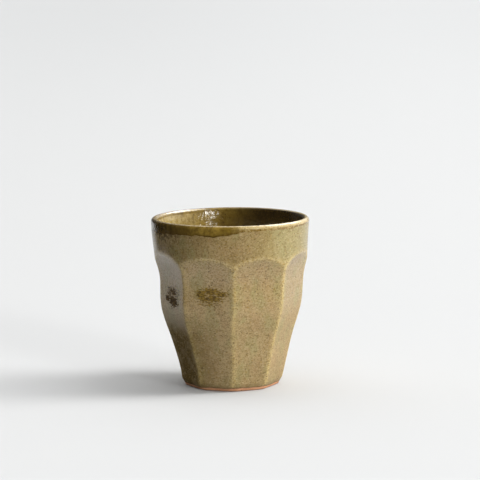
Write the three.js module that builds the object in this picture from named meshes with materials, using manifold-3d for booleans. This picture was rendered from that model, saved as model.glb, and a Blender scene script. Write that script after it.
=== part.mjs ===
// Faceted stoneware cup: a thrown cup with flats cut down its wall under arched tops, in two coats of glaze.
// Millimetres, +Z up. The origin is the middle of the foot, on the table, and the cup's front faces -Y.

import * as THREE from "three";
import { mergeVertices } from "three/addons/utils/BufferGeometryUtils.js";
import Module from "manifold-3d";

const wasm = await Module();
wasm.setup();

// Heights of the finished wall, one on top of another from the table
const ANKLE_HEIGHT = 8;
const FLARE_RISE = 15; // ankle to the middle of the flare
const SHOULDER_RISE = 16.5; // flare to the shoulder, where the wall turns upright
const WAIST_RISE = 11.5; // shoulder to the waist, where the cutter begins to swing out of the wall
const RIM_RISE = 34; // waist to the top of the rim

// Widths of the finished cup, across two opposite flats or across the round rim
const FOOT_FLATS = 47.2;
const ANKLE_FLATS = 49;
const FLARE_FLATS = 56;
const SHOULDER_FLATS = 65.4;
const WAIST_FLATS = 67.2;
const RIM_DIAMETER = 80;

// Cutting of the flats
const FACET_COUNT = 8;
const CUT_DEPTH = 4; // clay that the cutter takes off at the middle of a flat
const SCOOP_RISE = 21; // height of the cutter's swing at the top of a flat
const SCOOP_REACH = 11.3; // how far that swing goes outward
const FRONT_RIDGE = 2.2; // degrees that the front ridge stands to the right of the front
const HAND_CROWDING = 2.7; // degrees by which the hand-set flats close up towards the front
const HAND_LIFT = 0.5; // how much higher the side flats start, and lower the front and back ones

// Clay: wall, floor and foot
const WALL = 4.4; // glaze to glaze at the middle of a flat
const LIP_THICKNESS = 3.4; // glaze to glaze at the rounded rim
const SCOOP_FOLLOWED = 0.35; // share of the cutter's swing that the inside of the wall runs along
const FLOOR_HEIGHT = 8; // table to the glaze on the floor inside
const FLOOR_FLAT = 22; // diameter of the flat middle of the floor
const FOOT_RING = 5; // width of the ring that stands on the table, at the flats
const RECESS_DEPTH = 1.8; // turned recess under the floor
const RECESS_DRAFT = 1.2; // how much the recess narrows on its way up
const FOOT_BEVEL = 0.4; // width and height of the bevel round the foot
const FOOT_BEVEL_HEIGHT = 0.8;

// Glaze
const GLAZE = 0.5; // thickness of a fired coat
const GLAZE_GAP = 0.1; // hairline between a coat and what it lies against
const BARE_FOOT = 1.4; // height of the wiped, unglazed edge above the table
const LINER_LAP = 3.9; // how far the inside glaze laps over the rim, on average
const LINER_LAP_TILT = 2.6; // degrees: the cup was held askew, so the lap is deeper on one side
const LINER_LAP_SIDE = -85; // direction of the deep side, in degrees from the front towards the right

// Fineness
const TURN_STEPS = 64;
const FLAT_STEPS = 10;
const SCOOP_STEPS = 8;
const LIP_STEPS = 6;
const INSIDE_STEPS = 8;
const CORNER_STEPS = 4;

// Places that follow from the sizes above
const FLARE_Z = ANKLE_HEIGHT + FLARE_RISE;
const SHOULDER_Z = FLARE_Z + SHOULDER_RISE;
const WAIST_Z = SHOULDER_Z + WAIST_RISE;
const HEIGHT = WAIST_Z + RIM_RISE;
const RIM_RADIUS = RIM_DIAMETER / 2;
const LIP_RADIUS = LIP_THICKNESS / 2;
const COAT = GLAZE + GLAZE_GAP; // from the finished face to the clay
const FAR = 2 * (RIM_DIAMETER + HEIGHT); // past everything, for the cutting solids

const point = (x, y) => new THREE.Vector2(x, y);

// Line up the middle of a flat, from the foot to the waist: distance from the axis, then height.
function flatCorners() {
  return [
    point(FOOT_FLATS / 2, 0),
    point(ANKLE_FLATS / 2, ANKLE_HEIGHT),
    point(FLARE_FLATS / 2, FLARE_Z),
    point(SHOULDER_FLATS / 2, SHOULDER_Z),
    point(WAIST_FLATS / 2, WAIST_Z),
  ];
}

// Swing of the cutter out of the wall, from the waist.
function scoop(lift = 0) {
  const outermost = WAIST_FLATS / 2 + SCOOP_REACH;
  const rise = SCOOP_RISE + lift;
  return new THREE.EllipseCurve(outermost, WAIST_Z, SCOOP_REACH, rise, Math.PI, Math.PI / 2, true);
}

// Moves a line sideways by a distance, to the right of its direction.
function beside(line, distance) {
  return line.map((p, i) => {
    const along = line[Math.min(i + 1, line.length - 1)].clone().sub(line[Math.max(i - 1, 0)]);
    along.normalize();
    return point(p.x + along.y * distance, p.y - along.x * distance);
  });
}

// A closed geometry as a solid, with the vertices of its faces shared.
function solidOf(geometry) {
  const bare = geometry.clone();
  bare.deleteAttribute("normal");
  bare.deleteAttribute("uv");
  const merged = mergeVertices(bare, 1e-4);
  const corners = merged.index.array;
  const triVerts = [];
  for (let i = 0; i < corners.length; i += 3) {
    const [a, b, c] = corners.slice(i, i + 3);
    if (a !== b && b !== c && c !== a) triVerts.push(a, b, c);
  }
  return new wasm.Manifold(
    new wasm.Mesh({
      numProp: 3,
      vertProperties: merged.attributes.position.array,
      triVerts: new Uint32Array(triVerts),
    }),
  );
}

function meshOf(name, solid, material) {
  const { vertProperties, triVerts } = solid.getMesh();
  const geometry = new THREE.BufferGeometry();
  geometry.setAttribute("position", new THREE.BufferAttribute(vertProperties, 3));
  geometry.setIndex(new THREE.BufferAttribute(triVerts, 1));
  const mesh = new THREE.Mesh(geometry, material);
  mesh.name = name;
  return mesh;
}

// Turns a profile that starts and ends on the axis into a solid about +Z.
function turned(profile) {
  return solidOf(new THREE.LatheGeometry(profile, TURN_STEPS).rotateX(Math.PI / 2));
}

// Line down the inside, from the rim to the middle of the floor, at a depth under the finished face.
function insideLine(depth) {
  const outside = [...flatCorners(), scoop().getPoint(SCOOP_FOLLOWED)];
  const [, ankle, flare, shoulder, waist, arch] = outside.map((p) => point(p.x - WALL, p.y));
  const lip = point(RIM_RADIUS - LIP_THICKNESS, HEIGHT - LIP_RADIUS);
  const floor = point(FLOOR_FLAT / 2, FLOOR_HEIGHT);
  const wall = new THREE.SplineCurve([lip, arch, waist, shoulder, flare]).getPoints(INSIDE_STEPS);
  const bend = point(ankle.x, FLOOR_HEIGHT);
  const corner = new THREE.QuadraticBezierCurve(flare, bend, floor).getPoints(CORNER_STEPS);
  const middle = point(0, FLOOR_HEIGHT - depth);
  return [...beside([...wall, ...corner.slice(1)], -depth), middle];
}

// The cup before its flats are cut, at a depth under the finished face. The underside is bare.
function thrownCup(depth) {
  const recess = FOOT_FLATS / 2 - FOOT_BEVEL - FOOT_RING;
  const underside = [point(0, RECESS_DEPTH), point(recess - RECESS_DRAFT, RECESS_DEPTH), point(recess, 0)];
  const outside = flatCorners().map((p) => point(p.x + CUT_DEPTH - depth, p.y));
  const round = LIP_RADIUS - depth;
  const lip = new THREE.EllipseCurve(RIM_RADIUS - LIP_RADIUS, HEIGHT - LIP_RADIUS, round, round, 0, Math.PI);
  return turned([...underside, ...outside, ...lip.getPoints(LIP_STEPS), ...insideLine(depth).slice(1)]);
}

// Path of the cutter up the middle of a flat: from the bevelled foot, then swinging out of the wall.
function cutterLine(lift) {
  const bevel = point(FOOT_FLATS / 2 - 2 * FOOT_BEVEL, -FOOT_BEVEL_HEIGHT);
  const heel = point(FOOT_FLATS / 2, FOOT_BEVEL_HEIGHT);
  const wall = new THREE.SplineCurve(flatCorners()).getPoints(FLAT_STEPS).filter((p) => p.y > heel.y);
  return [bevel, heel, ...wall, ...scoop(lift).getPoints(SCOOP_STEPS).slice(1)];
}

// What the cutter takes away at one flat, at a depth under the finished face.
function facetCut(index, depth) {
  const even = ((index + 0.5) * 2 * Math.PI) / FACET_COUNT;
  const crowding = THREE.MathUtils.degToRad(HAND_CROWDING) * Math.sin(even);
  const turn = even - crowding + THREE.MathUtils.degToRad(FRONT_RIDGE);
  const line = beside(cutterLine(-HAND_LIFT * Math.cos(2 * even)), -depth);
  const outline = [...line, point(FAR, line[line.length - 1].y), point(FAR, line[0].y)];
  const cut = new THREE.ExtrudeGeometry(new THREE.Shape(outline), { depth: 2 * FAR, bevelEnabled: false });
  cut.translate(0, 0, -FAR);
  const outward = new THREE.Vector3(Math.sin(turn), -Math.cos(turn), 0);
  const up = new THREE.Vector3(0, 0, 1);
  cut.applyMatrix4(new THREE.Matrix4().makeBasis(outward, up, outward.clone().cross(up)));
  return solidOf(cut);
}

// The cup with all its flats cut, at a depth under the finished face.
function facetedCup(depth) {
  let cup = thrownCup(depth);
  for (let i = 0; i < FACET_COUNT; i += 1) cup = cup.subtract(facetCut(i, depth));
  return cup;
}

// Everything below the edge of the inside glaze where it laps over the rim, lowered by a gap.
function belowLap(gap) {
  const block = new THREE.BoxGeometry(FAR, FAR, FAR).translate(0, 0, -FAR / 2);
  const side = THREE.MathUtils.degToRad(LINER_LAP_SIDE);
  const hinge = new THREE.Vector3(Math.cos(side), Math.sin(side), 0);
  const tilt = new THREE.Matrix4().makeRotationAxis(hinge, THREE.MathUtils.degToRad(LINER_LAP_TILT));
  block.applyMatrix4(tilt).translate(0, 0, HEIGHT - LINER_LAP - gap);
  return solidOf(block);
}

function aboveFoot() {
  return solidOf(new THREE.BoxGeometry(FAR, FAR, FAR).translate(0, 0, FAR / 2 + BARE_FOOT));
}

// A plug that fills the inside out to the middle of the wall, to part the inside from the outside.
function insidePlug() {
  const wall = insideLine(LIP_RADIUS);
  const mouth = [point(0, FAR), point(wall[0].x, FAR)];
  return turned([...mouth, ...wall].reverse());
}

const stoneware = new THREE.MeshStandardMaterial({ color: 0xb5714a, roughness: 0.85, metalness: 0 });
const khakiGlaze = new THREE.MeshStandardMaterial({ color: 0x8f7d52, roughness: 0.4, metalness: 0 });
const oliveGlaze = new THREE.MeshStandardMaterial({ color: 0x6e5c28, roughness: 0.2, metalness: 0 });

const coats = facetedCup(0).subtract(facetedCup(GLAZE));
const plug = insidePlug();
const outerCoat = coats.subtract(plug).intersect(belowLap(GLAZE_GAP)).intersect(aboveFoot());
const linerCoat = coats.subtract(belowLap(0).subtract(plug));

const cup = new THREE.Group();
cup.add(meshOf("stoneware_body", facetedCup(COAT), stoneware));
cup.add(meshOf("outer_glaze", outerCoat, khakiGlaze));
cup.add(meshOf("liner_glaze", linerCoat, oliveGlaze));

export default cup;
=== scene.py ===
"""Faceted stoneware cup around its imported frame.

The scene is in metres and the sections are in millimetres. The front of the cup is -Y.
"""

import math

import bpy
import numpy as np
from mathutils import Matrix, Vector


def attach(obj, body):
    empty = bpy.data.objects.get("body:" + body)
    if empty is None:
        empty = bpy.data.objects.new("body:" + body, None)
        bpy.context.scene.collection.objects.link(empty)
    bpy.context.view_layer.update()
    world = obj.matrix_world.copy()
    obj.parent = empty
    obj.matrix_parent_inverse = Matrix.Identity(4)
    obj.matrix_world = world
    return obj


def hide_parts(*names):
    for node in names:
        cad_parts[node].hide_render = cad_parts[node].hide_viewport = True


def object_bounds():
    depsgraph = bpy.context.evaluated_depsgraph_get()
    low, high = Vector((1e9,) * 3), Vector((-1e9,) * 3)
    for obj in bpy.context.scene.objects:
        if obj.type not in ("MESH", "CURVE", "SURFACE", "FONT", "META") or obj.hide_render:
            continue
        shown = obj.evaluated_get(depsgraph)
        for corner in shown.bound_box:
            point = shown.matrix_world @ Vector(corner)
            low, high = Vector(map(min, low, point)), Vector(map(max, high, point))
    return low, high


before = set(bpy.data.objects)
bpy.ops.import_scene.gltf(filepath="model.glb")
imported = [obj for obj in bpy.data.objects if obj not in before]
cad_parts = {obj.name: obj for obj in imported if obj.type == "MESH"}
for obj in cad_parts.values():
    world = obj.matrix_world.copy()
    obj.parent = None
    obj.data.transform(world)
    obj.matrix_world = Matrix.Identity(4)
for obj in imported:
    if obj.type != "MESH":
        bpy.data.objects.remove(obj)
cad_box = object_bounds()

MM = 0.001
TURN = 2 * math.pi
rng = np.random.default_rng(20)

# Heights and distances from the axis, as in the solids
RIM_R = cad_box[1][0] / MM
HEIGHT = cad_box[1][2] / MM
FLAT_STATIONS = ((23.6, 0.0), (24.5, 8.0), (28.0, 23.0), (32.7, 39.5), (33.6, 51.0))
WAIST_R, WAIST_Z = FLAT_STATIONS[-1]
SCOOP_RISE = 21.0  # height of the cutter's swing at the top of a flat
SCOOP_REACH = 11.3  # how far that swing goes outward
SCOOP_FOLLOWED = 0.35  # share of the swing that the inside of the wall runs along
CUT_DEPTH = 4.0
LIP = 1.7
WALL = 4.4
FLOOR_Z = 8.0
FLOOR_FLAT = 11.0
RECESS_R = 18.2
RECESS_DEPTH = 1.8
RECESS_DRAFT = 1.2
COAT = 0.5
COAT_GAP = 0.08
LAP_GAP = 0.02  # from the edge of each coat to the line where the two meet

# How the flats lie round the cup, and how soft their edges are
FACETS = 8
FRONT_RIDGE = math.radians(2.2)
CROWDING = math.radians(2.7)
FOOT_SHIFT = math.radians(1.3)
FOOT_CROWDING = math.radians(3.9)
TWIST_TOP = 45.0
HAND_LIFT = 0.5
BEND_SPREAD = 1.2  # how far the bends up a flat are rounded
RIDGE_SOFTNESS = 3.4  # the larger, the sharper
BREAK_SOFTNESS = 1.6  # the same, for the width of the glaze that breaks over an edge
FAR = 90.0  # past everything, for a flat that faces away
LEAST_FACING = 0.3  # cosine past which a flat faces away

# The foot was wiped with a sponge: rounder ridges, a bare edge, and glaze that thins and rolls in above it
BARE_FOOT = 1.5
FOOT_RIPPLES = ((3, 0.1, 1.0), (11, 0.08, 0.0), (26, 0.06, 2.0))  # turns, size, phase
WIPED_SOFTNESS = 0.9
WIPED_TOP = 8.0
FOOT_ROLL = 0.7
ROLL_TOP = BARE_FOOT + 2.4
THIN_COAT = 0.15
CLAY_STEP = 0.27
FOOT_BEVEL = 0.75
FOOT_BEVEL_TOP = 0.5
RECESS_EDGE = ((-0.7, 1.5), (-0.3, 0.7), (0.0, 0.15), (0.2, 0.0))  # distance past the recess, and height
TURNING_RINGS = ((2.1, 0.05, 0.0), (5.3, 0.03, 0.0))  # turns by distance, size, phase

# Waves left by the hand: how many, most turns round the cup, most rise up it, and size
BROAD_WAVES = (9, 5, 0.12, 0.05)
FINE_WAVES = (14, 16, 0.5, 0.018)

# The wall sways a little, and the rim isn't quite round or level
SWAY = 0.28
SWAY_Z = 56.0
SWAY_LENGTH = 46.0
SWAY_START = 8.0
UPPER_START = 40.0
ROUNDNESS = ((2, 0.0025, 0.8 + math.pi / 2), (3, 0.0015, math.pi / 2))  # turns, share of the radius, phase
RIM_RIPPLES = ((1, 0.12, 0.4), (2, 0.1, 2.0))  # turns, size, phase
RIM_LIFT = 0.52
RIM_LIFT_SIDE = -0.5
RIM_DROP = 0.14

# How far the inside glaze laps over the rim: deeper on one side, with a sag and a thin place near the front
LAP_MEAN = 3.9
LAP_TILT = 1.7
LAP_SIDE = math.radians(-85)
LAP_SWELLS = ((-14.0, 11.0, 0.9), (18.0, 14.0, -0.8))  # direction and span in degrees, and depth
LAP_RIPPLES = ((7, 0.16), (13, 0.14), (23, 0.14), (41, 0.12), (67, 0.08))  # turns and size

# Marks in the glaze, each a few blots: direction in degrees, height, half width, half height, strength
FINGER_MARKS = (
    (-26.0, 50.4, 3.6, 3.2, 0.9), (-17.2, 52.0, 5.4, 2.4, 1.0), (-8.5, 50.8, 4.2, 1.7, 0.9),
    (-15.5, 48.6, 6.4, 2.8, 0.75), (-23.8, 48.3, 3.0, 2.2, 0.8), (9.8, 45.6, 0.8, 0.6, 0.4),
    (13.5, 45.4, 0.7, 0.6, 0.35), (-19.0, 46.2, 6.5, 2.6, 0.45),
)
IRON_MARKS = ((-60.0, 44.9, 7.5, 4.0, 1.0), (-70.5, 45.8, 3.6, 2.6, 0.9), (-62.0, 49.2, 9.0, 3.6, 0.74))
MARK_R = 34.5
BLOT_FADE = (0.1, 1.3)

# How much paler the glaze came out on each flat, from the front one at the right and round by the back
FLAT_TONES = (0.08, 0.0, 0.1, 0.2, 0.05, 0.15, 0.1, 0.52)
FLAT_FADE = (0.0, 1.5)

# Sides where a look comes in: direction in degrees, and the cosines from it at which it starts and is full
STAIN_SIDE = (-75, 0.6, 1.0)
# painted shade: darker low down on the left side, away from the window
LOW_SHADE_SIDE = (-82, 0.2, 0.9)
GREEN_SIDE = (90, 0.1, 0.8)
# painted shade: the band and the outer lip darker on the left side, away from the window
BAND_SHADE_SIDE = (-75, 0.55, 1.0)
# painted light: the inside's left wall, which faces the window side, made paler near the rim
SUNLIT_INSIDE_SIDE = (-90, 0.3, 0.8)
# painted shade: the inside's right wall, which faces away from the window side, darkened to nearly black
INSIDE_SHADE_SIDE = (90, -0.45, 0.5)
CREST_SIDE = (0, -0.3, 0.3)
# partly painted highlight: the cream crest is a little wider on the right
CREST_HIGHLIGHT_SIDE = (90, -0.2, 0.8)
# painted shade: the pale crest of the lip fades out on the left side
LIP_SHADE_SIDE = (-90, 0.35, 0.85)

# Heights at which a look of the outside fades, and how far the stain runs down from the lap
STAIN_RUN = 6.5
# Painted shade low down: where it fades on the left side, and its share and fade towards the foot all round
LOW_SHADE_FADE = (25, 44)
FOOT_SHADE_SHARE = 0.28
FOOT_SHADE_FADE = (3, 20)
# width of the painted shade along the glaze's lower edge
FOOT_LINE = 0.5

# Looks of the inside glaze, by height, by depth of the lap, or by angle over the lip from the outside inward
DARK_BEAD_SIDE = math.radians(-15)
DARK_BEAD_SPAN = math.radians(14)
BEAD_HEIGHT = 0.9
BEAD_LEAST = 0.25
FEATHER_HEIGHT = 2.2
THIN_LAP = (2.6, 4.4)
THIN_ANGLE = (1.6, 2.4)
BAND_ANGLE = (1.2, 2.2)
CREST_ANGLE = 1.25
# width of the crest, a little wider on the right as painted highlight
CREST_SPAN = (0.32, 0.36)
CREST_LEAST = 0.25
# share of the crest kept on the left side, under the painted shade
LIP_SHADE_CREST = 0.2
# how far over the lip the painted shade of the band's left side reaches
BAND_SHADE_ANGLE = (0.9, 1.5)
# Painted shade on the inside's right side: its strength, where it starts over the lip, and how it fades
# towards the floor
INSIDE_SHADE_MOST = 0.95
INSIDE_SHADE_ANGLE = (1.65, 2.1)
INSIDE_SHADE_RISE = (8, 45)
INSIDE_SHADE_LEAST = 0.3
NEAR_RIM = (50, 80)
LINER_MASKS = ("band", "crest", "bead", "thin", "feather", "inside_shade", "band_shade", "pale", "dimpled")

# Colours of the outer glaze
COLLAR_DARK = (0.325, 0.228, 0.097)
COLLAR_LIGHT = (0.375, 0.273, 0.122)
FLAT_DARK = (0.37, 0.265, 0.125)
FLAT_LIGHT = (0.4, 0.29, 0.135)
PALE_FLAT = (0.56, 0.41, 0.21)
GREEN_TINT = (0.31, 0.28, 0.115)
PINK_TINT = (0.4, 0.255, 0.12)
# painted shade low down on the left side and towards the foot
PAINTED_LOW_SHADE = (0.11, 0.067, 0.009)
RIGHT_GREEN = (0.315, 0.268, 0.112)
SHADE = (0.2, 0.135, 0.045)
EDGE_GOLD = (0.6, 0.45, 0.19)
GRAIN = (0.2, 0.13, 0.045)
DARK_DOT = (0.15, 0.095, 0.033)
PALE_FLECK = (0.56, 0.45, 0.26)
RUSTY_FLECK = (0.4, 0.24, 0.06)
STAIN = (0.08, 0.046, 0.011)
BLOTCH = (0.075, 0.042, 0.01)
IRON_SPECK = (0.1, 0.06, 0.02)
GOLDEN_SPECK = (0.36, 0.22, 0.045)
MARK_GOLD = (0.27, 0.165, 0.024)
MARK_DARK = (0.075, 0.042, 0.005)
IRON_RUST = (0.16, 0.09, 0.014)
IRON_DARK = (0.05, 0.026, 0.004)
# painted shade under the glaze's lower edge at the foot
GLAZE_EDGE_SHADE = (0.1, 0.06, 0.022)

# Colours of the inside glaze
GOLDEN_DARK = (0.22, 0.138, 0.02)
GOLDEN_LIGHT = (0.3, 0.197, 0.036)
OLIVE_DARK = (0.185, 0.114, 0.016)
OLIVE_LIGHT = (0.27, 0.172, 0.03)
RUN_DARK = (0.11, 0.064, 0.008)
RUN_LIGHT = (0.36, 0.24, 0.04)
# painted shade of the band's left side
PAINTED_BAND_SHADE = (0.04, 0.022, 0.005)
# painted shade of the inside's right side
PAINTED_INSIDE_SHADE = (0.03, 0.018, 0.006)
# pale tan where the glaze is thin, made paler still as painted highlight on the right band
THIN_GLAZE_AND_HIGHLIGHT = (0.44, 0.325, 0.13)
FEATHER_DARK = (0.12, 0.07, 0.014)
FEATHER_RUST = (0.26, 0.155, 0.04)
BEAD_BROWN = (0.06, 0.034, 0.006)
CREST_CREAM = (0.63, 0.5, 0.27)
MOTTLE = (0.11, 0.065, 0.012)
LINER_SPECK = (0.07, 0.04, 0.01)
# painted light on the inside's left wall near the rim
PAINTED_INSIDE_LIGHT = (0.44, 0.325, 0.115)

# Colours of the clay
CLAY_DARK = (0.48, 0.225, 0.115)
CLAY_LIGHT = (0.62, 0.32, 0.175)
CLAY_GRAIN = (0.24, 0.11, 0.055)
CLAY_SPECK = (0.09, 0.05, 0.03)

# Floor: it is paler to the eye than in the light that it throws back on the cup
FLOOR_NEAR = (0.635, 0.637, 0.635)
# painted shade on the floor: darker far off and to the left, away from the window
FLOOR_FAR = (0.585, 0.589, 0.589)
FLOOR_FAR_FADE = (-200, 3500)
FLOOR_LEFT_SHADE = 0.075
FLOOR_LEFT_FADE = (-300, 300)
FLOOR_BOUNCE = (0.16, 0.16, 0.16)
FLOOR_SIZE = 15.0
BLACK = (0.0, 0.0, 0.0)

# Dark card in metres and degrees: its foot is raised at the far left, and its top is low at the right
CARD_COLOUR = (0.02, 0.02, 0.018)
CARD_SPAN = (-131.0, 62.0)
CARD_STEPS = 48
CARD_R = 0.18
CARD_HEIGHT = 0.4
CARD_GAP = 0.03
CARD_GAP_END = -95.0
LOW_CARD = 0.09
LOW_CARD_START = 12.0

# Lamps far off: direction in degrees from the front towards the right, elevation, strength, spread, and use
SUNS = (
    ("window_low", 94, 24, 1.2, 22, "light"),
    ("window_back", 134, 45, 4.2, 38, "highlight"),
    ("wall_back", 140, 50, 1.9, 100, "highlight"),
    ("front_gleam", 36, 20, 0.65, 8, "highlight"),
    ("window_front", 40, 17, 0.9, 11, "light"),
    ("window", 92, 44, 0.95, 22, "both"),
    ("window_high", 90, 64, 0.8, 22, "both"),
    ("room_above", 0, 82, 0.7, 50, "light"),
    ("room_back", -158, 46, 1.35, 90, "light"),
)

# Low panels: direction in degrees, distance and width in metres, and power in watts
PANELS = (("room_front", 40, 0.6, 0.7, 2.05), ("room_left", -65, 0.6, 0.5, 0.25))
PANEL_HEIGHT = 0.08
PANEL_GAP = 0.002

# The room round the cup, brighter on the window's side, and its strength to the camera
ROOM_COLOUR = (0.95, 0.98, 1.0)
ROOM_SIDE = (95, 18)
ROOM_FALLOFF = 3.0
ROOM_BRIGHT = 0.9
ROOM_DIM = 0.1
ROOM_PALE = 0.85

# The photograph's camera, and where the middle of the rim lies in its picture, in pixels from the middle
CAMERA_PITCH = math.radians(8.23)
CAMERA_LEAN = math.radians(0.5)
CAMERA_AWAY = 1322.6
SENSOR_WIDTH = 36.0
FRAME_PX = 480
PX_PER_MM = 1.9842
RIM_PX_RIGHT = -9.319
RIM_PX_UP = 23.143

# Fineness
AROUND = 420
FLAT_STEPS = 400
INSIDE_STEPS = 200
CORNER_STEPS = 60
OUTER_ROWS = 190
HIDDEN_ROWS = 24
BAND_ROWS = 14
LIP_ROWS = 26
INSIDE_ROWS = 110
HIDDEN_LIP_ROWS = 10
HIDDEN_INSIDE_ROWS = 50
HIDDEN_BAND_STEP = 4
RECESS_ROWS = 60
FOOT_ROWS = (0, 0.12, 0.3, 0.5, 0.9, 1.3, 1.7, 2.1, 2.6, 3.2, ROLL_TOP)
CLAY_WALL_ROWS = 60
CLAY_LIP_ROWS = 12
SHARP_ANGLE = math.radians(50)


def spline(points, count):
    """Points along a uniform spline through the given ones."""
    p = np.array(points, float)
    last = len(p) - 1
    at = np.linspace(0, last, count)
    i = np.minimum(at.astype(int), last - 1)
    w = (at - i)[:, None]
    p0, p1, p2, p3 = p[np.maximum(i - 1, 0)], p[i], p[i + 1], p[np.minimum(i + 2, last)]
    v0, v1 = (p2 - p0) / 2, (p3 - p1) / 2
    return (2 * p1 - 2 * p2 + v0 + v1) * w**3 + (3 * p2 - 3 * p1 - 2 * v0 - v1) * w**2 + v0 * w + p1


def smooth_step(value, low, high):
    """Rises smoothly from 0 to 1 between two values."""
    t = np.clip((value - low) / (high - low), 0, 1)
    return t * t * (3 - 2 * t)


def between(low, high, share):
    return low + (high - low) * share


def mound(offset, span):
    """One at no offset, fading out over the span to both sides."""
    return np.exp(-((offset / span) ** 2))


def ripples(at, table):
    """Sum of sine waves, each with its turns, size and phase."""
    return sum(size * np.sin(turns * at + phase) for turns, size, phase in table)


def on_side(theta, side):
    """How fully a look has come in at each direction, for one of the sides of the cup named above."""
    direction, start, full = side
    return smooth_step(np.cos(theta - math.radians(direction)), start, full)


def flat_table():
    """Height and distance of the middle of a flat, from below the table to the top of the cutter's swing."""
    below = 6.0
    step = 0.1
    tail = 4.0
    z = np.arange(-below, WAIST_Z + SCOOP_RISE - step / 2, step)
    line = spline(FLAT_STATIONS, FLAT_STEPS)
    wall = np.interp(z, line[:, 1], line[:, 0])
    slope = (line[1, 0] - line[0, 0]) / (line[1, 1] - line[0, 1])
    wall = np.where(z < 0, FLAT_STATIONS[0][0] + slope * z, wall)
    swing = np.clip((z - WAIST_Z) / SCOOP_RISE, 0, 1)
    reach = np.where(z < WAIST_Z, wall, WAIST_R + SCOOP_REACH * (1 - np.sqrt(1 - swing**2)))
    offsets = np.arange(-tail, tail + step / 2, step)
    weights = np.exp(-0.5 * (offsets / BEND_SPREAD) ** 2)
    padded = np.pad(reach, len(offsets) // 2, mode="reflect", reflect_type="odd")
    return z, np.convolve(padded, weights / weights.sum(), mode="valid")


FLAT_Z, FLAT_R = flat_table()


def thrown_radius(z):
    """Radius of the thrown wall before the flats are cut."""
    wall = np.interp(z, FLAT_Z, FLAT_R) + CUT_DEPTH
    collar_r = WAIST_R + CUT_DEPTH
    collar = between(collar_r, RIM_R, (z - WAIST_Z) / (HEIGHT - LIP - WAIST_Z))
    return np.where(z < WAIST_Z, wall, collar)


def facet_radii(theta, z):
    """Radius of the plane of each flat, and last of the thrown wall, at each direction and height."""
    lower = np.clip(1 - z / TWIST_TOP, 0, 1)
    shift = FRONT_RIDGE - FOOT_SHIFT * lower
    crowding = CROWDING + FOOT_CROWDING * lower
    radii = []
    for i in range(FACETS):
        even = (i + 0.5) * TURN / FACETS
        turn = even + shift - crowding * math.sin(even)
        lift = -HAND_LIFT * math.cos(2 * even)
        level = np.where(z > WAIST_Z, WAIST_Z + (z - WAIST_Z) * SCOOP_RISE / (SCOOP_RISE + lift), z)
        reach = np.interp(level, FLAT_Z, FLAT_R, right=FAR)
        facing = np.cos(theta - turn)
        radii.append(np.where(facing > LEAST_FACING, reach / np.maximum(facing, LEAST_FACING), FAR))
    radii.append(thrown_radius(z) + 0 * theta)
    return np.stack(radii)


def soft_least(radii, softness):
    """Least of the radii, rounded where two of them cross."""
    least = radii.min(0)
    return least - np.log(np.exp(-softness * (radii - least)).sum(0)) / softness


def waves(theta, z, count, turns, rise, size):
    """Slight unevenness left by the hand: a few seeded waves round and up the cup."""
    total = 0
    for _ in range(count):
        around = rng.integers(-turns, turns + 1)
        up = rng.uniform(-rise, rise)
        total = total + np.sin(around * theta + up * z + rng.uniform(0, TURN))
    return size * total / math.sqrt(count)


def lap_depth(theta):
    """How far the inside glaze laps down over the rim."""
    degrees = np.degrees((theta + math.pi) % TURN - math.pi)
    depth = LAP_MEAN + LAP_TILT * np.cos(theta - LAP_SIDE)
    for direction, span, size in LAP_SWELLS:
        depth += size * mound(degrees - direction, span)
    for turns, size in LAP_RIPPLES:
        depth += size * np.sin(turns * theta + rng.uniform(0, TURN))
    return depth


# Directions round the cup, the two edges of the outer glaze there, and the seed's state for the waves
THETA = np.linspace(-math.pi, math.pi, AROUND, endpoint=False)
WIDE = np.ones(AROUND)
LAP_DEPTH = lap_depth(THETA)
LAP = HEIGHT - LAP_DEPTH
FOOT_EDGE = BARE_FOOT + ripples(THETA, FOOT_RIPPLES)
UNEVEN = rng.bit_generator.state


def outside(z):
    """Radius of the finished outside at rows of heights."""
    rng.bit_generator.state = UNEVEN
    theta = np.broadcast_to(THETA, z.shape)
    softness = between(WIPED_SOFTNESS, RIDGE_SOFTNESS, smooth_step(z, 0, WIPED_TOP))
    radius = soft_least(facet_radii(theta, z), softness)
    return radius + waves(theta, z, *BROAD_WAVES) + waves(theta, z, *FINE_WAVES)


def foot_roll(z):
    """How far the wall rolls in above the bare edge of the foot."""
    return FOOT_ROLL * (1 - smooth_step(z, BARE_FOOT, ROLL_TOP))


def blots(theta, z, table):
    """Strength of a mark that is made of a few soft blots."""
    total = 0
    for turn, height, width, tall, strength in table:
        sideways = (theta - math.radians(turn)) * MARK_R
        away = np.sqrt((sideways / width) ** 2 + ((z - height) / tall) ** 2)
        total = np.maximum(total, strength * (1 - smooth_step(away, *BLOT_FADE)))
    return total


def outside_masks(z):
    """Where the glaze breaks over an edge, how each flat came out, and the marks and stains."""
    theta = np.broadcast_to(THETA, z.shape)
    radii = facet_radii(theta, z)
    edge = (radii.min(0) - soft_least(radii, BREAK_SOFTNESS)) * BREAK_SOFTNESS / math.log(2)
    flat = smooth_step(radii[-1] - radii[:-1].min(0), *FLAT_FADE)
    # painted shade: low on the left side, and a little towards the foot all round
    side_shade = on_side(theta, LOW_SHADE_SIDE) * (1 - smooth_step(z, *LOW_SHADE_FADE))
    foot_shade = FOOT_SHADE_SHARE * (1 - smooth_step(z, *FOOT_SHADE_FADE))
    return {
        "edge": np.clip(edge, 0, 1),
        "flat": flat,
        "tone": np.array(FLAT_TONES)[radii[:-1].argmin(0)] * flat,
        "marks": blots(theta, z, FINGER_MARKS),
        "iron": blots(theta, z, IRON_MARKS),
        "stain": on_side(theta, STAIN_SIDE) * np.exp(-np.maximum(LAP - z, 0) / STAIN_RUN),
        "low_shade": np.maximum(side_shade, foot_shade),
        "green": (1 - flat) * on_side(theta, GREEN_SIDE),
        # painted shade along the glaze's lower edge
        "foot": mound(z - FOOT_EDGE, FOOT_LINE),
    }


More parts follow.
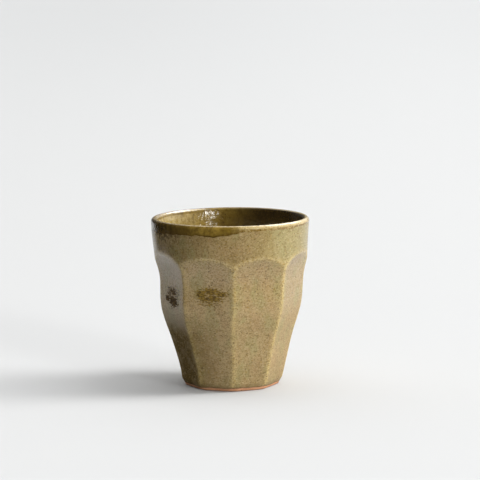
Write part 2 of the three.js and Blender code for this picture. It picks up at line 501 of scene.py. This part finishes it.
def inside_line(depth, count):
    """Distance and height down the inside, from the rim to the middle of the floor, at a depth."""
    middle_r = 0.5
    swing = SCOOP_FOLLOWED * math.pi / 2
    arch = (WAIST_R + SCOOP_REACH * (1 - math.cos(swing)), WAIST_Z + SCOOP_RISE * math.sin(swing))
    outer = [arch, *FLAT_STATIONS[:0:-1]]
    arch, waist, shoulder, flare, ankle = [(r - WALL, z) for r, z in outer]
    wall = spline([(RIM_R - 2 * LIP, HEIGHT - LIP), arch, waist, shoulder, flare], INSIDE_STEPS)
    t = np.linspace(0, 1, CORNER_STEPS)[1:, None]
    bend, floor = np.array((ankle[0], FLOOR_Z)), np.array((FLOOR_FLAT, FLOOR_Z))
    corner = (1 - t) ** 2 * np.array(flare) + 2 * t * (1 - t) * bend + t**2 * floor
    line = np.vstack([wall, corner, [(middle_r, FLOOR_Z)]])
    along = np.gradient(line, axis=0)
    along /= np.linalg.norm(along, axis=1, keepdims=True)
    line = line - depth * np.stack([along[:, 1], -along[:, 0]], 1)
    length = np.concatenate([[0], np.cumsum(np.linalg.norm(np.diff(line, axis=0), axis=1))])
    at = np.linspace(0, length[-1], count)
    return np.stack([np.interp(at, length, line[:, 0]), np.interp(at, length, line[:, 1])], 1)


def lip_arc(depth, count):
    """Distance and height over the rounded rim, from the outside to the inside."""
    angle = np.linspace(0, math.pi, count)
    r = RIM_R - LIP + (LIP - depth) * np.cos(angle)
    z = HEIGHT - LIP + (LIP - depth) * np.sin(angle)
    return np.stack([r, z], 1)


def by_hand(radius, z):
    """Points of a row by row section, with the sway of the wall and the slight lean of the rim."""
    theta = np.broadcast_to(THETA, z.shape)
    upper = smooth_step(z, UPPER_START, HEIGHT)
    radius = radius * (1 + upper * ripples(theta, ROUNDNESS))
    sway = SWAY * np.cos(TURN * (z - SWAY_Z) / SWAY_LENGTH) * smooth_step(z, 0, SWAY_START)
    x = radius * np.sin(theta) + sway
    y = -radius * np.cos(theta)
    lift = RIM_LIFT * (0.5 + 0.5 * np.cos(theta - RIM_LIFT_SIDE))
    drop = RIM_DROP * (0.5 - 0.5 * np.cos(theta))
    z = z + upper * (ripples(theta, RIM_RIPPLES) + lift - drop)
    return np.stack([x, y, z], -1)


def rows_between(low, high, count):
    """Heights from one edge to another, row by row."""
    return between(low, high, np.linspace(0, 1, count)[:, None])


# What the low panels light: the cup, and not the floor
CUP_ONLY = bpy.data.collections.new("cup_only")


def ring_faces(count, closed):
    """Faces between rows of points round the axis, which also join the last row to the first if closed."""
    lower = np.arange(count * AROUND).reshape(count, AROUND)
    upper = np.roll(lower, -1, 0)
    if not closed:
        lower, upper = lower[:-1], upper[:-1]
    corners = [lower, np.roll(lower, -1, 1), np.roll(upper, -1, 1), upper]
    return np.stack(corners, -1).reshape(-1, 4).tolist()


def pole_faces(count):
    """Faces from the first row to a first pole and from the last row to a second, which follow the rows."""
    first = count * AROUND
    row = np.arange(AROUND)
    beside = np.roll(row, -1)
    last_row = first - AROUND
    start = [[first, b, a] for a, b in zip(row, beside)]
    return start + [[first + 1, last_row + a, last_row + b] for a, b in zip(row, beside)]


def piece(name, rows, poles, masks, node, material):
    """A closed mesh from rows of points round the axis, ending in two poles or closing on itself."""
    points = rows.reshape(-1, 3)
    faces = ring_faces(len(rows), poles is None)
    if poles is not None:
        points = np.vstack([points, poles])
        faces += pole_faces(len(rows))
    mesh = bpy.data.meshes.new(name)
    mesh.from_pydata((points * MM).tolist(), [], faces)
    for key, values in masks.items():
        data = np.zeros(len(points), np.float32)
        data[: values.size] = values.ravel()
        mesh.attributes.new(key, "FLOAT", "POINT").data.foreach_set("value", data)
    mesh.shade_smooth()
    mesh.set_sharp_from_angle(angle=SHARP_ANGLE)
    mesh.materials.append(material)
    obj = bpy.data.objects.new(name, mesh)
    bpy.context.collection.objects.link(obj)
    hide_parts(node)
    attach(obj, "root")
    CUP_ONLY.objects.link(obj)


class Nodes:
    """Short ways to add nodes to a tree."""

    MIX_FIRST, MIX_SECOND, MIX_RESULT = 6, 7, 2  # sockets of a Mix node that hold colours

    def __init__(self, tree):
        self.tree = tree

    def add(self, kind):
        return self.tree.nodes.new("ShaderNode" + kind)

    def put(self, socket, value):
        if isinstance(value, bpy.types.NodeSocket):
            self.tree.links.new(value, socket)
        elif isinstance(value, tuple) and len(value) == 3 and socket.type == "RGBA":
            socket.default_value = (*value, 1)
        else:
            socket.default_value = value

    def math(self, operation, *values):
        node = self.add("Math")
        node.operation = operation
        for socket, value in zip(node.inputs, values):
            self.put(socket, value)
        return node.outputs[0]

    def times(self, a, b):
        return self.math("MULTIPLY", a, b)

    def plus(self, a, b):
        return self.math("ADD", a, b)

    def most(self, a, b):
        return self.math("MAXIMUM", a, b)

    def least(self, a, b):
        return self.math("MINIMUM", a, b)

    def vector(self, operation, a, b):
        node = self.add("VectorMath")
        node.operation = operation
        self.put(node.inputs[0], a)
        self.put(node.inputs[1], b)
        return node.outputs["Value" if operation == "DOT_PRODUCT" else "Vector"]

    def remap(self, value, low, high, to_low=0.0, to_high=1.0):
        """Goes smoothly from one number to another as the value goes from low to high."""
        node = self.add("MapRange")
        node.interpolation_type = "SMOOTHSTEP"
        for socket, given in zip(node.inputs, (value, low, high, to_low, to_high)):
            self.put(socket, given)
        return node.outputs[0]

    def mix(self, share, a, b):
        node = self.add("Mix")
        node.data_type = "RGBA"
        self.put(node.inputs[0], share)
        self.put(node.inputs[self.MIX_FIRST], a)
        self.put(node.inputs[self.MIX_SECOND], b)
        return node.outputs[self.MIX_RESULT]


class Shader(Nodes):
    """A node material with a principled shader, and ways to colour it by place in millimetres."""

    SPECK_LEAST = 0.35  # size of the smallest speck, added to a number from 0 to 1
    SPECK_CORE = 0.55  # share of a speck's radius that has its full colour
    SPECK_CUT = 0.02

    def __init__(self, name):
        self.material = bpy.data.materials.new(name)
        self.material.use_nodes = True
        super().__init__(self.material.node_tree)
        self.tree.nodes.clear()
        self.colour = None
        output = self.add("OutputMaterial")
        self.surface = self.add("BsdfPrincipled")
        self.tree.links.new(self.surface.outputs["BSDF"], output.inputs["Surface"])
        self.place = self.vector("MULTIPLY", self.add("TexCoord").outputs["Object"], (1 / MM,) * 3)

    def set(self, **values):
        for key, value in values.items():
            self.put(self.surface.inputs[key.replace("_", " ")], value)

    def cover(self, colour, share, strength=None, most=None):
        """Lays a colour over those laid before it, by a share that can be made stronger and capped."""
        if strength is not None:
            share = self.times(share, strength)
        if most is not None:
            share = self.least(share, most)
        self.colour = self.mix(share, self.colour, colour)

    def along(self, axis):
        node = self.add("SeparateXYZ")
        self.put(node.inputs[0], self.place)
        return node.outputs[axis]

    def noise(self, scale, detail=2.0, stretch=(1, 1, 1)):
        node = self.add("TexNoise")
        self.put(node.inputs["Vector"], self.vector("MULTIPLY", self.place, stretch))
        node.inputs["Scale"].default_value = scale
        node.inputs["Detail"].default_value = detail
        return node.outputs["Fac"]

    def specks(self, scale, radius, share):
        """Round specks: about that share of the cells holds one, of up to that radius in cells."""
        node = self.add("TexVoronoi")
        self.put(node.inputs["Vector"], self.place)
        node.inputs["Scale"].default_value = scale
        split = self.add("SeparateColor")
        self.tree.links.new(node.outputs["Color"], split.inputs[0])
        present = self.remap(split.outputs[0], 1 - share, 1 - share + self.SPECK_CUT)
        size = self.times(self.plus(split.outputs[1], self.SPECK_LEAST), radius)
        inside = self.math("DIVIDE", node.outputs["Distance"], size)
        return self.times(self.remap(inside, 1.0, self.SPECK_CORE), present)

    def mask(self, name):
        node = self.add("Attribute")
        node.attribute_name = name
        return node.outputs["Fac"]

    def patchy(self, name, noise, low, high, least=0.0, most=1.0):
        """A mask that comes and goes with a noise."""
        return self.times(self.mask(name), self.remap(noise, low, high, least, most))

    def ragged(self, name, noise):
        """A mask whose edge a noise breaks up: above 0 where the mark is."""
        depth, level = -2.2, 0.75
        return self.plus(self.mask(name), self.math("MULTIPLY_ADD", noise, depth, level))

    def bump(self, height, distance):
        node = self.add("Bump")
        node.inputs["Distance"].default_value = distance * MM
        self.put(node.inputs["Height"], height)
        return node.outputs["Normal"]


def lay_ground(s, low_shade, green):
    """Ground of the outer glaze: collar and flats, tints, painted shade in brown low down, and gold along the
    edges.
    """
    patches = s.remap(s.noise(scale=0.09, detail=3.0), low=0.35, high=0.65)
    collar = s.mix(patches, COLLAR_DARK, COLLAR_LIGHT)
    flats = s.mix(patches, FLAT_DARK, FLAT_LIGHT)
    s.colour = s.mix(s.mask("flat"), collar, flats)
    s.cover(PALE_FLAT, s.mask("tone"))
    tints = s.noise(scale=0.15, detail=3.0, stretch=(1, 1, 0.5))
    s.cover(GREEN_TINT, s.remap(tints, low=0.5, high=0.64, to_high=0.5))
    s.cover(PINK_TINT, s.remap(tints, low=0.48, high=0.34, to_high=0.4))
    # painted shade: brown low down on the left side and towards the foot
    s.cover(PAINTED_LOW_SHADE, low_shade)
    s.cover(RIGHT_GREEN, green, strength=0.8)
    s.cover(SHADE, s.remap(s.noise(scale=0.5, detail=3.0), low=0.5, high=0.3, to_high=0.45))
    s.cover(EDGE_GOLD, s.patchy("edge", s.noise(scale=0.6), low=0.3, high=0.6, least=0.4, most=0.95))


def lay_grain(s, coarse):
    """Grain, dots and flecks all over the outer glaze, fewer where it isn't coarse."""
    grain = s.remap(s.noise(scale=1.25, detail=3.0), low=0.52, high=0.34, to_high=0.6)
    s.cover(GRAIN, s.times(grain, coarse))
    s.cover(DARK_DOT, s.times(s.specks(scale=1.2, radius=0.34, share=0.28), coarse), strength=0.8)
    pale = s.noise(scale=1.0, stretch=(1, 1, 1.1))
    s.cover(PALE_FLECK, s.remap(pale, low=0.54, high=0.7, to_high=0.35))
    s.cover(RUSTY_FLECK, s.specks(scale=0.95, radius=0.36, share=0.22), strength=0.5)


def lay_stains(s, coarse):
    """Brown stain that runs down from the lap, and iron and golden specks that gather at the edges."""
    s.cover(STAIN, s.patchy("stain", s.noise(scale=0.5, detail=4.0), low=0.45, high=0.55))
    blotches = s.times(s.specks(scale=0.5, radius=0.36, share=0.35), s.mask("stain"))
    s.cover(BLOTCH, blotches, strength=1.6, most=0.85)
    gathered = s.remap(s.noise(scale=0.11), low=0.45, high=0.6, to_low=0.1, to_high=0.9)
    clusters = s.times(s.plus(s.mask("edge"), gathered), coarse)
    iron_specks = s.times(s.specks(scale=0.75, radius=0.34, share=0.2), clusters)
    s.cover(IRON_SPECK, iron_specks, most=0.65)
    s.cover(GOLDEN_SPECK, s.times(s.specks(scale=0.9, radius=0.4, share=0.5), s.mask("edge")))


def lay_marks(s):
    """Golden finger mark, iron mark and the painted shade along the glaze's lower edge at the foot. Gives
    back where the iron is.
    """
    streaks = s.noise(scale=1.3, detail=4.0, stretch=(0.6, 0.6, 1.5))
    finger = s.ragged("marks", s.noise(scale=1.25, detail=4.0, stretch=(0.6, 0.6, 1.3)))
    golden = s.mix(s.remap(streaks, low=0.44, high=0.58), MARK_GOLD, MARK_DARK)
    s.cover(golden, s.remap(finger, low=-0.3, high=0.3, to_high=0.9))
    smeared = s.ragged("iron", s.noise(scale=1.1, detail=4.0, stretch=(0.5, 0.5, 1.3)))
    iron = s.remap(smeared, low=-0.15, high=0.4)
    s.cover(s.mix(s.remap(streaks, low=0.36, high=0.5), IRON_RUST, IRON_DARK), iron)
    # painted shade: a dark line under the glaze's lower edge
    s.cover(GLAZE_EDGE_SHADE, s.mask("foot"), strength=0.8)
    return iron


def outer_glaze_material():
    """Speckled khaki glaze with painted shade in brown low down: satin above, and drier low down, under the
    painted shade and where it is rusty.
    """
    s = Shader("speckled_khaki_glaze")
    low_shade = s.patchy("low_shade", s.noise(scale=0.2, detail=3.0), low=0.3, high=0.6, least=0.7)
    green = s.mask("green")
    coarse = s.remap(green, low=0.0, high=1.0, to_low=1.0, to_high=0.45)
    lay_ground(s, low_shade, green)
    lay_grain(s, coarse)
    lay_stains(s, coarse)
    iron = lay_marks(s)
    satin = s.remap(s.along(2), low=30, high=52, to_low=0.55, to_high=0.22)
    dry = s.most(s.times(low_shade, 0.95), s.times(iron, 0.9))
    pits = s.plus(s.noise(scale=0.8), s.times(s.noise(scale=2.6), 0.25))
    s.set(Base_Color=s.colour, Roughness=s.most(satin, dry), IOR=1.5, Normal=s.bump(pits, distance=0.07))
    return s.material


def lay_liner(s, cloud):
    """Ground of the inside glaze: golden inside, olive on the band, with dark and light runs, and painted
    shade on the band's left side and on the inside's right side.
    """
    patches = s.remap(cloud, low=0.35, high=0.65)
    golden = s.mix(patches, GOLDEN_DARK, GOLDEN_LIGHT)
    olive = s.mix(patches, OLIVE_DARK, OLIVE_LIGHT)
    s.colour = s.mix(s.mask("band"), golden, olive)
    runs = s.noise(scale=0.4, detail=3.0, stretch=(1, 1, 0.8))
    s.cover(RUN_DARK, s.remap(runs, low=0.5, high=0.34, to_high=0.5))
    s.cover(RUN_LIGHT, s.remap(runs, low=0.54, high=0.7, to_high=0.4))
    # painted shade, patchy, on the band's left side
    band_shade_noise = s.noise(scale=0.7, detail=4.0, stretch=(1, 1, 0.35))
    s.cover(PAINTED_BAND_SHADE, s.patchy("band_shade", band_shade_noise, low=0.36, high=0.6, least=0.62))
    # painted shade, nearly black, on the right side of the inside
    s.cover(PAINTED_INSIDE_SHADE, s.mask("inside_shade"))


def lay_rim(s):
    """Where the inside glaze ends below the rim, and where it breaks over the lip."""
    # pale tan of the thin glaze on the right, partly painted highlight
    s.cover(THIN_GLAZE_AND_HIGHLIGHT, s.mask("thin"))
    feather = s.patchy("feather", s.noise(scale=0.75, detail=3.0), low=0.4, high=0.56)
    s.cover(s.mix(s.mask("thin"), FEATHER_DARK, FEATHER_RUST), feather)
    s.cover(BEAD_BROWN, s.patchy("bead", s.noise(scale=0.6, detail=3.0), low=0.32, high=0.52, least=0.3))
    s.cover(CREST_CREAM, s.patchy("crest", s.noise(scale=0.8, detail=3.0), low=0.36, high=0.56, least=0.25))


def liner_ripples(s):
    """Height of the glossy surface: ripples, stronger on the lip, and dimples and a throwing ring inside."""
    swells = s.plus(s.noise(scale=0.6), s.times(s.noise(scale=1.5, detail=1.0), 0.3))
    swells = s.times(swells, s.math("MULTIPLY_ADD", s.mask("crest"), 1.6, 1.0))
    ring = s.remap(s.along(2), low=73, high=82, to_low=-4.0, to_high=0.0)
    dimples = s.plus(s.times(s.noise(scale=1.2), 0.25), ring)
    return s.plus(swells, s.times(s.mask("dimpled"), dimples))


def liner_glaze_material():
    """Glossy olive glaze, golden where it is thin, with painted shade that makes the right side of the inside
    nearly black.
    """
    s = Shader("glossy_olive_glaze")
    cloud = s.noise(scale=0.14, detail=3.0)
    lay_liner(s, cloud)
    lay_rim(s)
    s.cover(MOTTLE, s.remap(s.noise(scale=1.2), low=0.5, high=0.34, to_high=0.5))
    s.cover(LINER_SPECK, s.specks(scale=0.8, radius=0.32, share=0.35), strength=0.75)
    # painted light: a pale patchy wash on the inside's left wall near the rim
    inside_light = s.patchy("pale", s.noise(scale=0.5, detail=3.0), low=0.38, high=0.6, least=0.3, most=0.85)
    s.cover(PAINTED_INSIDE_LIGHT, inside_light)
    gloss = s.remap(cloud, low=0.3, high=0.7, to_low=0.06, to_high=0.1)
    s.set(Base_Color=s.colour, Roughness=gloss, IOR=1.6, Normal=s.bump(liner_ripples(s), distance=0.2))
    return s.material


def stoneware_material():
    """Bare toasted clay with grain and dark specks."""
    s = Shader("bare_stoneware")
    grain = s.noise(scale=2.4, detail=4.0)
    cloud = s.noise(scale=0.2, detail=4.0)
    s.colour = s.mix(s.remap(cloud, low=0.3, high=0.7), CLAY_DARK, CLAY_LIGHT)
    s.cover(CLAY_GRAIN, s.remap(grain, low=0.45, high=0.3, to_high=0.6))
    s.cover(CLAY_SPECK, s.specks(scale=0.8, radius=0.3, share=0.3), strength=0.7)
    matte = s.remap(grain, low=0.3, high=0.7, to_low=0.75, to_high=0.9)
    s.set(Base_Color=s.colour, Roughness=matte, Normal=s.bump(grain, distance=0.12))
    return s.material


def make_outer_glaze():
    """The outer coat: its face up to the lap, and behind it a plainer face against the clay."""
    z = rows_between(FOOT_EDGE, LAP - LAP_GAP, OUTER_ROWS)
    hidden_z = z[::-1][np.linspace(0, OUTER_ROWS - 1, HIDDEN_ROWS).astype(int)]
    thickness = between(THIN_COAT, COAT, smooth_step(hidden_z, BARE_FOOT, ROLL_TOP))
    shown = outside(z) - foot_roll(z)
    hidden = outside(hidden_z) - foot_roll(hidden_z) - thickness
    rows = by_hand(np.vstack([shown, hidden]), np.vstack([z, hidden_z]))
    material = outer_glaze_material()
    piece("outer_glaze_coat", rows, None, outside_masks(z), "outer_glaze", material)


def liner_masks(hidden_count, band_z, inside_z):
    """Looks of the inside glaze, row by row: hidden rows, the band outside, the lip and the inside."""
    band = slice(hidden_count, hidden_count + BAND_ROWS)
    lip = slice(band.stop, band.stop + LIP_ROWS - 1)
    inside = slice(lip.stop, lip.stop + len(inside_z))
    masks = {key: np.zeros((inside.stop, AROUND)) for key in LINER_MASKS}
    angle = np.linspace(0, math.pi, LIP_ROWS)[1:, None]
    above_edge = band_z - LAP
    deep = mound(THETA - DARK_BEAD_SIDE, DARK_BEAD_SPAN)
    thin = 1 - smooth_step(LAP_DEPTH, *THIN_LAP)
    # painted shade on the right side of the inside, over the inner half of the lip and down the wall
    inside_shade = INSIDE_SHADE_MOST * on_side(THETA, INSIDE_SHADE_SIDE)
    near_rim = smooth_step(inside_z, *NEAR_RIM)
    crest = between(CREST_LEAST, 1, on_side(THETA, CREST_SIDE))
    # painted shade: less cream on the lip's left side
    crest *= between(1, LIP_SHADE_CREST, on_side(THETA, LIP_SHADE_SIDE))
    # painted shade on the left side of the band and the outer lip
    band_shade = on_side(THETA, BAND_SHADE_SIDE)
    # the crest a little wider on the right, as painted highlight
    crest_span = between(*CREST_SPAN, on_side(THETA, CREST_HIGHLIGHT_SIDE))
    masks["band"][band] = 1
    masks["band"][lip] = 1 - smooth_step(angle, *BAND_ANGLE)
    masks["bead"][band] = mound(above_edge, BEAD_HEIGHT) * between(BEAD_LEAST, 1, deep)
    masks["feather"][band] = mound(above_edge, FEATHER_HEIGHT) * (1 - deep)
    masks["band_shade"][band] = band_shade
    masks["band_shade"][lip] = band_shade * (1 - smooth_step(angle, *BAND_SHADE_ANGLE))
    masks["thin"][band] = thin
    masks["thin"][lip] = thin * (1 - smooth_step(angle, *THIN_ANGLE))
    masks["crest"][lip] = mound(angle - CREST_ANGLE, crest_span) * crest
    masks["inside_shade"][lip] = inside_shade * smooth_step(angle, *INSIDE_SHADE_ANGLE)
    masks["inside_shade"][inside] = inside_shade * between(INSIDE_SHADE_LEAST, 1, smooth_step(inside_z, *INSIDE_SHADE_RISE))
    # painted light on the inside's left wall near the rim
    masks["pale"][inside] = on_side(THETA, SUNLIT_INSIDE_SIDE) * near_rim
    masks["dimpled"][inside] = near_rim * WIDE
    return masks


def make_liner_glaze():
    """The inside coat: a plain face against the clay, then the band outside, the lip and the inside."""
    band_z = rows_between(LAP + LAP_GAP, (HEIGHT - LIP) * WIDE, BAND_ROWS)
    hidden_band_z = band_z[::-1][::HIDDEN_BAND_STEP]
    inside = inside_line(0, INSIDE_ROWS)[1:]
    spun = np.vstack([lip_arc(0, LIP_ROWS)[1:], inside])
    hidden_inside = inside_line(COAT, HIDDEN_INSIDE_ROWS)[::-1]
    hidden_spun = np.vstack([hidden_inside, lip_arc(COAT, HIDDEN_LIP_ROWS)[::-1]])
    radius = [hidden_spun[:, :1] * WIDE, outside(hidden_band_z) - COAT, outside(band_z), spun[:, :1] * WIDE]
    z = [hidden_spun[:, 1:] * WIDE, hidden_band_z, band_z, spun[:, 1:] * WIDE]
    rows = by_hand(np.vstack(radius), np.vstack(z))
    masks = liner_masks(len(hidden_spun) + len(hidden_band_z), band_z, inside[:, 1:])
    poles = np.array([(0, 0, FLOOR_Z - COAT), (0, 0, FLOOR_Z)])
    piece("liner_glaze_coat", rows, poles, masks, "liner_glaze", liner_glaze_material())


def make_stoneware():
    """The clay under both coats: the turned recess, the foot, the wall, the lip and the inside."""
    depth = COAT + COAT_GAP
    first_r = 0.8
    turned = np.linspace(first_r, RECESS_R - RECESS_DRAFT, RECESS_ROWS)
    rings = RECESS_DEPTH + ripples(turned, TURNING_RINGS)
    edge = [(RECESS_R + past, z) for past, z in RECESS_EDGE]
    under = np.vstack([np.stack([turned, rings], 1), edge])
    foot_z = np.array(FOOT_ROWS)[:, None] * WIDE
    inset = between(CLAY_STEP, depth, smooth_step(foot_z, BARE_FOOT, ROLL_TOP))
    bevel = FOOT_BEVEL * np.maximum(1 - foot_z / FOOT_BEVEL_TOP, 0) ** 2
    foot = outside(foot_z) - foot_roll(foot_z) - inset - bevel
    row_step = 0.8
    wall_z = rows_between((ROLL_TOP + row_step) * WIDE, (HEIGHT - LIP) * WIDE, CLAY_WALL_ROWS)
    spun = np.vstack([lip_arc(depth, CLAY_LIP_ROWS)[1:], inside_line(depth, HIDDEN_INSIDE_ROWS)[1:]])
    radius = np.vstack([under[:, :1] * WIDE, foot, outside(wall_z) - depth, spun[:, :1] * WIDE])
    z = np.vstack([under[:, 1:] * WIDE, foot_z, wall_z, spun[:, 1:] * WIDE])
    poles = np.array([(0, 0, under[0, 1]), (0, 0, FLOOR_Z - depth)])
    rows = by_hand(radius, z)
    piece("stoneware_clay", rows, poles, {}, "stoneware_body", stoneware_material())


def towards(azimuth, elevation):
    """Direction from the cup: degrees from the front towards the right, and up."""
    a, e = math.radians(azimuth), math.radians(elevation)
    return Vector((math.sin(a) * math.cos(e), -math.cos(a) * math.cos(e), math.sin(e)))


def stage_piece(name, points, faces, material):
    mesh = bpy.data.meshes.new(name)
    mesh.from_pydata(points, [], faces)
    mesh.materials.append(material)
    obj = bpy.data.objects.new(name, mesh)
    bpy.context.collection.objects.link(obj)
    return obj


def floor_material():
    """Pale paper, with painted shade that makes it slightly darker at the left and far off."""
    s = Shader("pale_floor")
    # painted shade: the floor darker far off and to the left
    pale = s.mix(s.remap(s.along(1), *FLOOR_FAR_FADE), FLOOR_NEAR, FLOOR_FAR)
    pale = s.mix(s.remap(s.along(0), *FLOOR_LEFT_FADE, FLOOR_LEFT_SHADE, 0.0), pale, BLACK)
    path = s.add("LightPath")
    seen = s.most(path.outputs["Is Camera Ray"], path.outputs["Is Glossy Ray"])
    seen = s.most(seen, path.outputs["Is Transmission Ray"])
    s.set(Base_Color=s.mix(seen, FLOOR_BOUNCE, pale), Roughness=1.0, Specular_IOR_Level=0.0)
    return s.material


def make_floor():
    far = FLOOR_SIZE
    corners = [(-far, -far, 0), (far, -far, 0), (far, far, 0), (-far, far, 0)]
    stage_piece("floor", corners, [(0, 1, 2, 3)], floor_material())


def make_dark_card():
    """The dim part of the room past the table, which shows only as a reflection in the glaze."""
    low = []
    high = []
    for azimuth in np.linspace(*CARD_SPAN, CARD_STEPS):
        x, y, _ = CARD_R * towards(azimuth, 0)
        low.append((x, y, CARD_GAP if azimuth < CARD_GAP_END else 0))
        high.append((x, y, LOW_CARD if azimuth > LOW_CARD_START else CARD_HEIGHT))
    faces = [(i, i + 1, i + 1 + CARD_STEPS, i + CARD_STEPS) for i in range(CARD_STEPS - 1)]
    s = Shader("dark_cloth")
    s.set(Base_Color=CARD_COLOUR, Roughness=1.0, Specular_IOR_Level=0.0)
    card = stage_piece("dark_card", low + high, faces, s.material)
    card.visible_camera = False
    card.visible_diffuse = False
    card.visible_shadow = False


def add_lamp(light, direction, distance):
    lamp = bpy.data.objects.new(light.name, light)
    lamp.location = direction * distance
    lamp.rotation_euler = direction.to_track_quat("Z", "Y").to_euler()
    bpy.context.collection.objects.link(lamp)
    return lamp


def add_sun(name, azimuth, elevation, strength, spread, use):
    """A lamp far off, which may give only light or show only as a highlight in the glaze."""
    light = bpy.data.lights.new(name, "SUN")
    light.energy = strength
    light.angle = math.radians(spread)
    lamp = add_lamp(light, towards(azimuth, elevation), 1.0)
    lamp.visible_glossy = use != "light"
    lamp.visible_diffuse = use != "highlight"


def add_low_panel(name, azimuth, distance, width, power):
    """A soft panel that stands on the table and is no taller than the rim, so it doesn't light the inside."""
    light = bpy.data.lights.new(name, "AREA")
    light.shape = "RECTANGLE"
    light.size = width
    light.size_y = PANEL_HEIGHT
    light.energy = power
    lamp = add_lamp(light, towards(azimuth, 0), distance)
    lamp.location.z = PANEL_HEIGHT / 2 + PANEL_GAP
    lamp.visible_glossy = False
    lamp.light_linking.receiver_collection = CUP_ONLY


def light_room():
    """The world: a dim room that is brighter on one side, and pale to the camera."""
    world = bpy.data.worlds.new("room")
    bpy.context.scene.world = world
    world.use_nodes = True
    n = Nodes(world.node_tree)
    facing = n.vector("DOT_PRODUCT", n.add("TexCoord").outputs["Generated"], tuple(towards(*ROOM_SIDE)))
    bright_side = n.math("POWER", n.most(facing, 0.0), ROOM_FALLOFF)
    room = n.plus(n.times(bright_side, ROOM_BRIGHT), ROOM_DIM)
    pale = n.times(n.add("LightPath").outputs["Is Camera Ray"], ROOM_PALE)
    background = world.node_tree.nodes["Background"]
    n.put(background.inputs["Color"], ROOM_COLOUR)
    n.put(background.inputs["Strength"], n.most(room, pale))


def light_scene():
    light_room()
    for sun in SUNS:
        add_sun(*sun)
    for panel in PANELS:
        add_low_panel(*panel)
    bpy.context.scene.view_settings.view_transform = "Standard"


def place_camera():
    """The photograph's view: a long lens a little above the rim, leaning half a degree to the right."""
    right = Vector((1, 0, 0))
    forward = Vector((0, math.cos(CAMERA_PITCH), -math.sin(CAMERA_PITCH)))
    up = right.cross(forward)
    rim = Vector((0, 0, HEIGHT))
    aside = (right * RIM_PX_RIGHT + up * RIM_PX_UP) / PX_PER_MM
    place = (rim - aside - forward * CAMERA_AWAY) * MM
    leaning_right = right * math.cos(CAMERA_LEAN) - up * math.sin(CAMERA_LEAN)
    leaning_up = right * math.sin(CAMERA_LEAN) + up * math.cos(CAMERA_LEAN)
    data = bpy.data.cameras.new("camera")
    data.sensor_width = SENSOR_WIDTH
    data.lens = SENSOR_WIDTH * PX_PER_MM * CAMERA_AWAY / FRAME_PX
    camera = bpy.data.objects.new("camera", data)
    turned = Matrix((leaning_right, leaning_up, -forward)).transposed().to_4x4()
    camera.matrix_world = Matrix.Translation(place) @ turned
    bpy.context.collection.objects.link(camera)
    bpy.context.scene.camera = camera


make_stoneware()
make_outer_glaze()
make_liner_glaze()
make_floor()
make_dark_card()
light_scene()
place_camera()
